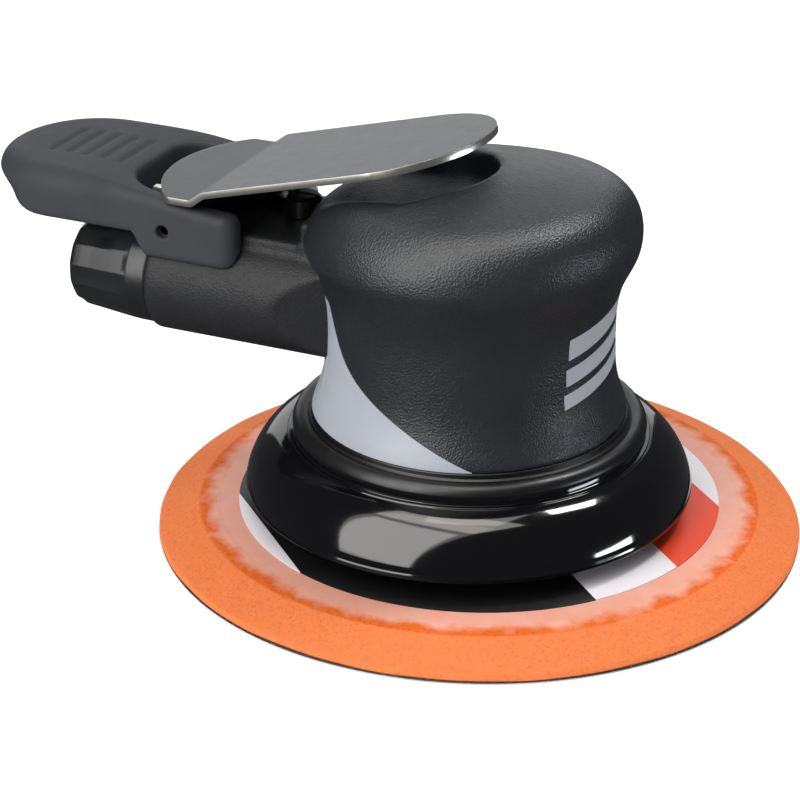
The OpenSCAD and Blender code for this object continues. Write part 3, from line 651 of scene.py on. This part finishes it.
def platform_field(x, y, z):
    """A plate with a round nose whose sides run on forward as two cheeks."""
    nose = rounded_rect(x, y, -PLATFORM_END, 0, PLATFORM_HALF, NOSE_R)
    side = np.maximum(nose, rounded_rect(x, y, -160, -50, PLATFORM_HALF, 3.5))
    side = side + 4.4 * ramp(-x, 102, 120.5) * ramp(76.0 - z, 0, 7.0)
    top = CHEEK_TOP + (PLATFORM_TOP - CHEEK_TOP) * ramp(-x, 44, 96)
    bottom = 68.0 - 5.5 * ramp(x, -76.8, -72.4)
    body = smax(side, z - top, 2.5 + 3.5 * ramp(-x, 74, 96))
    body = smax(body, bottom - z, 2.6)
    hollow = smax(side + 3.6, slab(z, 60, 73), 1.5)
    body = smax(body, -smax(hollow, slab(x, -119, -84.5), 1.5), 0.8)
    body = smax(body, -rounded_rect(x, y, -81, 0, RECESS_HALF, 9), 1.7)
    for i in range(GROOVES):
        groove = np.hypot(np.maximum(np.abs(y) - GROOVE_HALF, 0), x - GROOVE_X - GROOVE_STEP * i)
        body = body + np.where(z > 74, 0.55 * np.exp(-(groove / 0.8) ** 2), 0)
    body = smax(body, -rod_y(x, y, z, *PIVOT, PIN_HOLE_R, 40), 0.4)
    for sign, r in PORTS.items():
        body = smax(body, -(np.hypot(y - sign * PORT_Y, z - PORT_Z) - r - 0.15), 0.4)
    return body


vertices, faces = surface_net(platform_field, (-123, -24, 60), (-47, 24, 82), 0.5)
add_piece("platform_shell", vertices, faces, "body", [platform_look],
          ["wrist_platform"])


# ---- throttle lever ----

HEEL_X, HEEL_Z, HEEL_R = -75.5, 77.7, 31.0
TIP_X, PADDLE_HALF, SHEET = 4.0, 22.0, 1.6
STEP_REAR, STEP_FRONT = -60.4, -57.2
PADDLE_Z, PADDLE_SLOPE = 95.17, 0.26235
# Height along the lever: a level heel, a short step up, and the straight paddle, then smoothed.
slope_x = np.arange(-90, 20, 0.05)
paddle_z = PADDLE_Z + PADDLE_SLOPE * slope_x
step_slope = (PADDLE_Z + PADDLE_SLOPE * STEP_FRONT - HEEL_Z) / (STEP_FRONT - STEP_REAR)
step_z = HEEL_Z + (slope_x - STEP_REAR) * step_slope
slope_z = np.where(slope_x < STEP_REAR, HEEL_Z, np.where(slope_x > STEP_FRONT, paddle_z, step_z))
kernel = np.exp(-0.5 * (np.arange(-20, 21) * 0.05 / 0.35) ** 2)
slope_z = np.convolve(np.pad(slope_z, 20, mode="edge"), kernel / kernel.sum(), "valid")

across = np.sin(np.radians(np.linspace(-90, 90, 61))) * (PADDLE_HALF - 1e-4)
rear = HEEL_X + HEEL_R - np.sqrt(HEEL_R ** 2 - across ** 2)
tip = TIP_X - PADDLE_HALF + np.sqrt(PADDLE_HALF ** 2 - across ** 2)
bend = np.linspace(-61.6, -56.2, 19)
grid = []
for y, x0, x1 in zip(across, rear, tip):
    xs = np.concatenate([np.linspace(x0, bend[0], 9)[:-1], bend, np.linspace(bend[-1], x1, 41)[1:]])
    grid.append(np.stack([xs, np.full_like(xs, y), np.interp(xs, slope_x, slope_z)], 1))
grid = np.array(grid)
rows, columns = grid.shape[:2]
number = np.arange(rows * columns).reshape(rows, columns)
faces = [[int(number[i, j]), int(number[i, j + 1]), int(number[i + 1, j + 1]), int(number[i + 1, j])]
         for i in range(rows - 1) for j in range(columns - 1)]
paddle = add_piece("lever_paddle", grid.reshape(-1, 3), faces, "lever",
                   [steel_look, steel_edge_look], ["throttle_lever"], 30)
solid = paddle.modifiers.new("sheet", "SOLIDIFY")
solid.thickness, solid.offset, solid.use_even_offset, solid.material_offset_rim = SHEET * MM, 0, True, 1
edge = paddle.modifiers.new("edge", "BEVEL")
edge.width, edge.segments, edge.limit_method = 0.38 * MM, 3, "ANGLE"
edge.angle_limit, edge.material = math.radians(55), 1


def lug_field(x, y, z):
    plate = np.hypot(x - PIVOT[0], z - PIVOT[1]) - 3.9
    stem = smax(np.abs(x - PIVOT[0]) - 3.9, slab(z, PIVOT[1], 77.5), 0.4)
    heel = smax(slab(x, -74.6, -64), slab(z, 74.2, 77.5), 1.0)
    plate = smin(smin(plate, stem, 0.3), heel, 1.0)
    plate = smax(plate, -(np.hypot(x - PIVOT[0], z - PIVOT[1]) - 1.66), 0.3)
    return smax(plate, slab(np.abs(y), 12.6, 14.2), 0.4)


vertices, faces = surface_net(lug_field, (-76, -15, 65), (-62, 15, 78.5), 0.35)
add_piece("lever_lugs", vertices, faces, "lever", [steel_edge_look])


# ---- lever pin: a slotted roll pin ----

PIN_OUTER, PIN_INNER, PIN_HALF = 1.56, 1.12, 20.6
around = np.radians(np.linspace(128, 462, 33))
along = np.linspace(-PIN_HALF, PIN_HALF, 3)
size = (len(along), len(around))
tube = []
for r in (PIN_OUTER, PIN_INNER):
    tube.append(np.stack([np.broadcast_to(PIVOT[0] + r * np.cos(around), size),
                          np.broadcast_to(along[:, None], size),
                          np.broadcast_to(PIVOT[1] + r * np.sin(around), size)], 2))
vertices, faces = shell(*tube)
add_piece("lever_roll_pin", vertices, faces, "body", [slot_look["spring_steel"]],
          ["lever_pin"], 40)


# ---- shroud ----

def bend_points(a, b, c, n):
    """Corners along a smooth curve from a to c that leans towards b."""
    return [tuple((1 - t) ** 2 * p + 2 * t * (1 - t) * q + t * t * s for p, q, s in zip(a, b, c)) + (0,)
            for t in np.linspace(0, 1, n)]


BEAD_R, BEAD_Z, BEAD_SIZE, BEAD_FOOT = 38.8, 26.3, 2.65, 24.68
bead = [(BEAD_R + BEAD_SIZE * math.cos(a), BEAD_Z + BEAD_SIZE * math.sin(a), 0)
        for a in np.radians(np.linspace(118, -8, 22))]
# Outlines of turned pieces are corners (radius, height, rounding).
bell = ([(29.6, 30.0, 0.3), (36.75, 30.1, 0.1), (36.95, 29.9, 0.1), (37.05, 29.0, 0.3)] + bead
        + [(41.4, 25.2, 0.2), (41.25, BEAD_FOOT, 0.1)]
        + [(41.3, 24.5, 0.12), (42.15, 24.4, 0.2), (42.3, 24.1, 0.1), (42.5, 24.1, 0.1), (42.7, 24.2, 0.1)]
        + bend_points((43.1, 24.05), (49.9, 21.7), (52.2, 13.6), 26)
        + [(52.35, 12.6, 0.2), (52.5, 12.2, 0.2), (52.5, 11.2, 0.3), (51.9, 11.0, 0.3), (50.5, 11.0, 0.3)]
        + bend_points((50.3, 13.0), (47.6, 19.6), (39.4, 22.2), 16) + [(29.6, 22.2, 0.4)])
vertices, faces = lathe(rounded(bell), 224)
middle = np.array([vertices[f].mean(0) for f in faces])
on_bead = (middle[:, 2] > BEAD_FOOT) & (np.hypot(middle[:, 0], middle[:, 1]) < 41.4)
add_piece("shroud_bell", vertices, faces, "body", [shroud_look, bead_look], ["shroud"], 45,
          on_bead.astype(int).tolist())


# ---- pad ----

def pad_ripple(r, z, angle):
    """The cast foam's rim isn't perfectly even."""
    wave = 0.10 * np.sin(5 * angle + 0.7) + 0.07 * np.sin(13 * angle + 2.1) + 0.05 * np.sin(29 * angle)
    return r + (wave * ramp(r, 60, 74) - 0.22 * ramp(r, 60, 74))


foam_outline = rounded([(0, 0.42, 0), (75.7, 0.42, 0.2), (76.15, 1.1, 0.5), (75.7, 2.1, 0.7),
                        (71.0, 3.95, 3), (66.5, 5.82, 0.9), (65.2, 6.03, 0.5), (62.5, 6.17, 0),
                        (61.2, 6.23, 0), (60.6, 6.2, 0.1), (60.4, 5.9, 0.1), (60.4, 3.0, 0.2), (0, 3.0, 0)],
                       segments=6)
vertices, faces = lathe(foam_outline, 256, PAD_AXIS, pad_ripple)
pad_foam_ring = add_piece("pad_foam_ring", vertices, faces, "pad", [foam_look], ["pad_foam"])
pad_foam_ring.visible_glossy = False

hub_outline = rounded([(9.6, 4.8, 0.2), (60, 4.8, 0.2), (60, 3.05, 0.2), (63.0, 3.05, 0.1),
                       (63.0, 5.9, 0.1), (62.5, 6.13, 0.1), (61.2, 6.23, 0), (59.0, 6.28, 0),
                       (57.4, 6.3, 0.4), (9.6, 6.3, 0.2)])
vertices, faces = lathe(hub_outline, 224, PAD_AXIS)
hub_ring = add_piece("pad_hub_ring", vertices, faces, "pad", [urethane_look],
                     ["pad_hub"], 45)
hub_ring.visible_glossy = False

face_outline = rounded([(0, 0.0, 0), (75.5, 0.0, 0.1), (75.85, 0.12, 0.1), (75.85, 0.34, 0.1),
                        (75.5, 0.42, 0.1), (0, 0.42, 0)])
vertices, faces = lathe(face_outline, 256, PAD_AXIS)
add_piece("pad_face_sheet", vertices, faces, "pad", [face_look], ["pad_face"], 45)

# The print's colours meet along parallel straight lines, at these distances from the pad's axis.
BAND_EDGES = (-52.9, 2.85, 26.3, 49.2)
BAND_LOOKS = (1, 0, 1, 2, 1)
BAND_DIRECTION = Vector((0.688, 0.725, 0)).normalized()
disc_outline = rounded([(10.0, 6.3, 0), (56.75, 6.3, 0), (56.8, 6.58, 0.08), (10.1, 6.6, 0.08)], segments=2)
vertices, faces = lathe(disc_outline, 224, PAD_AXIS)
disc = add_piece("pad_print_disc", vertices, faces, "pad", [print_black, print_white, print_red],
                 ["pad_label"], 40)
bm = bmesh.new()
bm.from_mesh(disc.data)
axis_point = Vector((PAD_AXIS[0] * MM, PAD_AXIS[1] * MM, 0))
for s in BAND_EDGES:
    bmesh.ops.bisect_plane(bm, geom=bm.verts[:] + bm.edges[:] + bm.faces[:], dist=1e-7,
                           plane_co=axis_point + BAND_DIRECTION * s * MM, plane_no=BAND_DIRECTION)
for f in bm.faces:
    s = (f.calc_center_median() - axis_point).dot(BAND_DIRECTION) / MM
    f.material_index = BAND_LOOKS[sum(s > e for e in BAND_EDGES)]
bm.to_mesh(disc.data)
bm.free()


# ---- exhaust muffler cap ----

CAP_FLATS = 14


def cap_radius(r, z, angle):
    """Shallow scalloped flats behind the smooth collar."""
    along = ramp(z, 5.2, 6.6) * ramp(22.5 - z, 0, 1.0) * ramp(r, 9.4, 10.6)
    phase = (angle * CAP_FLATS / (2 * math.pi)) % 1 - 0.5
    return r - 0.42 * along * (1 - (2 * phase) ** 2)


cap_outline = rounded([
    (7.6, -8.0, 0.2), (9.35, -8.0, 0.3), (9.35, 0.05, 0.1), (12.0, 0.05, 0.3), (12.2, 0.6, 0.3),
    (12.15, 5.0, 0.3), (12.1, 5.3, 0.3), (12.05, 6.6, 0.3), (11.8, 9.5, 0.3), (11.5, 12.5, 0.3),
    (11.2, 15.5, 0.3), (10.95, 18.5, 0.3), (10.75, 20.2, 1.2), (9.9, 21.5, 1.2), (6.2, 21.5, 0.5),
    (5.4, 21.0, 0.4), (5.4, 19.5, 0.3), (7.6, 19.5, 0.3)], segments=4)
vertices, faces = lathe(cap_outline, 224, radius=cap_radius)
turned = np.stack([-PORT_END - vertices[:, 2], -PORT_Y + vertices[:, 1], PORT_Z + vertices[:, 0]], 1)
add_piece("muffler_shell", turned, faces, "body", [cap_look], ["muffler_cap"], 40)


# ---- CAD nodes that stay as they are ----

SOFT_EDGES = {"speed_regulator": 0.35, "valve_guide": 0.3, "inlet_bushing": 0.3,
              "pad_stud": 0.3, "spindle": 0.3, "shaft_balancer": 0.4}
for name, node in frame["nodes"].items():
    if node.hide_render:
        continue
    node.data.materials.clear()
    node.data.materials.append(slot_look[slot_of[name]])
    if name in SOFT_EDGES:
        bevel = node.modifiers.new("edge", "BEVEL")
        bevel.width, bevel.segments, bevel.limit_method = SOFT_EDGES[name] * MM, 2, "ANGLE"
        bevel.angle_limit = math.radians(40)
        bevel.harden_normals = True


# ---- floor, light and camera ----

WHITE = (1, 1, 1, 1)
FLOOR_HALF, FLOOR_Z = 6, -0.0002
floor_look = Look("floor_white", (0.9, 0.9, 0.9, 1), 0.9, Emission_Strength=0.3, Emission_Color=WHITE)
floor_mesh = bpy.data.meshes.new("floor")
floor_mesh.from_pydata([(x * FLOOR_HALF, y * FLOOR_HALF, FLOOR_Z)
                        for x, y in ((-1, -1), (1, -1), (1, 1), (-1, 1))], [], [(0, 1, 2, 3)])
floor_mesh.materials.append(floor_look.material)
floor = bpy.data.objects.new("floor", floor_mesh)
bpy.context.scene.collection.objects.link(floor)
floor.visible_glossy = False

TARGET = Vector((0.0, 0.0, 0.045))


def softbox(name, azimuth, elevation, distance, width, height, radiance, colour=(1, 1, 1),
            mirrored=True, lit=True):
    """Rectangular light that faces the object. Azimuth is from +X, towards +Y. It shows in gloss
    if mirrored, and lights matt surfaces if lit."""
    a, e = math.radians(azimuth), math.radians(elevation)
    away = Vector((math.cos(a) * math.cos(e), math.sin(a) * math.cos(e), math.sin(e)))
    light = bpy.data.lights.new(name, "AREA")
    light.shape, light.size, light.size_y = "RECTANGLE", width, height
    light.energy = radiance * math.pi * width * height
    light.color = colour
    lamp = bpy.data.objects.new(name, light)
    lamp.location = TARGET + away * distance
    lamp.rotation_euler = away.to_track_quat("Z", "Y").to_euler()
    lamp.visible_glossy, lamp.visible_diffuse = mirrored, lit
    lamp.visible_camera = False
    bpy.context.scene.collection.objects.link(lamp)


BLUISH, WARM = (0.86, 0.93, 1.0), (1.0, 0.96, 0.90)
softbox("front_left_box", -113, 33, 1.3, 1.0, 1.7, 3.5)
softbox("front_left_sheen", -113, 44, 1.25, 1.05, 2.2, 1.7, WARM, lit=False)
softbox("front_left_top", -113, 84, 1.25, 0.95, 0.55, 3.6, WARM, lit=False)
softbox("key_strip", 54, 60, 1.3, 0.22, 0.32, 34.0)
softbox("right_card", 6, -4, 1.2, 0.46, 0.17, 30.0, BLUISH)
softbox("backdrop_glow", 117, 20, 1.6, 1.5, 1.35, 1.0, (0.95, 0.97, 1.0))
softbox("overhead_fill", -60, 80, 1.5, 1.6, 1.6, 0.7, mirrored=False)
softbox("overhead_card", 100, 86, 1.5, 0.6, 0.6, 2.6, lit=False)

# The world is white to the camera, dark in reflections, and a soft grey fill otherwise.
world = bpy.data.worlds.new("studio")
world.use_nodes = True
tree = world.node_tree
path = tree.nodes.new("ShaderNodeLightPath")
seen = tree.nodes["Background"]
seen.inputs["Color"].default_value = (0.2, 0.205, 0.215, 1)
for ray, colour in (("Is Glossy Ray", (0.06, 0.062, 0.066, 1)), ("Is Camera Ray", WHITE)):
    other = tree.nodes.new("ShaderNodeBackground")
    other.inputs["Color"].default_value = colour
    mixer = tree.nodes.new("ShaderNodeMixShader")
    tree.links.new(path.outputs[ray], mixer.inputs[0])
    tree.links.new(seen.outputs[0], mixer.inputs[1])
    tree.links.new(other.outputs[0], mixer.inputs[2])
    seen = mixer
tree.links.new(seen.outputs[0], tree.nodes["World Output"].inputs["Surface"])
bpy.context.scene.world = world
bpy.context.scene.view_settings.view_transform = "Standard"

camera_data = bpy.data.cameras.new("camera")
camera_data.lens, camera_data.sensor_width = 112.5, 36
camera_data.clip_start, camera_data.clip_end = 0.01, 50
camera = bpy.data.objects.new("camera", camera_data)
camera.location = (0.1996, -0.4883, 0.2809)
BACKWARD, ROLL = Vector((0.3675, -0.8254, 0.4286)), 0.0026
aim = BACKWARD.to_track_quat("Z", "Y")
camera.rotation_euler = (aim @ Quaternion((0, 0, 1), ROLL)).to_euler()
bpy.context.scene.collection.objects.link(camera)
bpy.context.scene.camera = camera
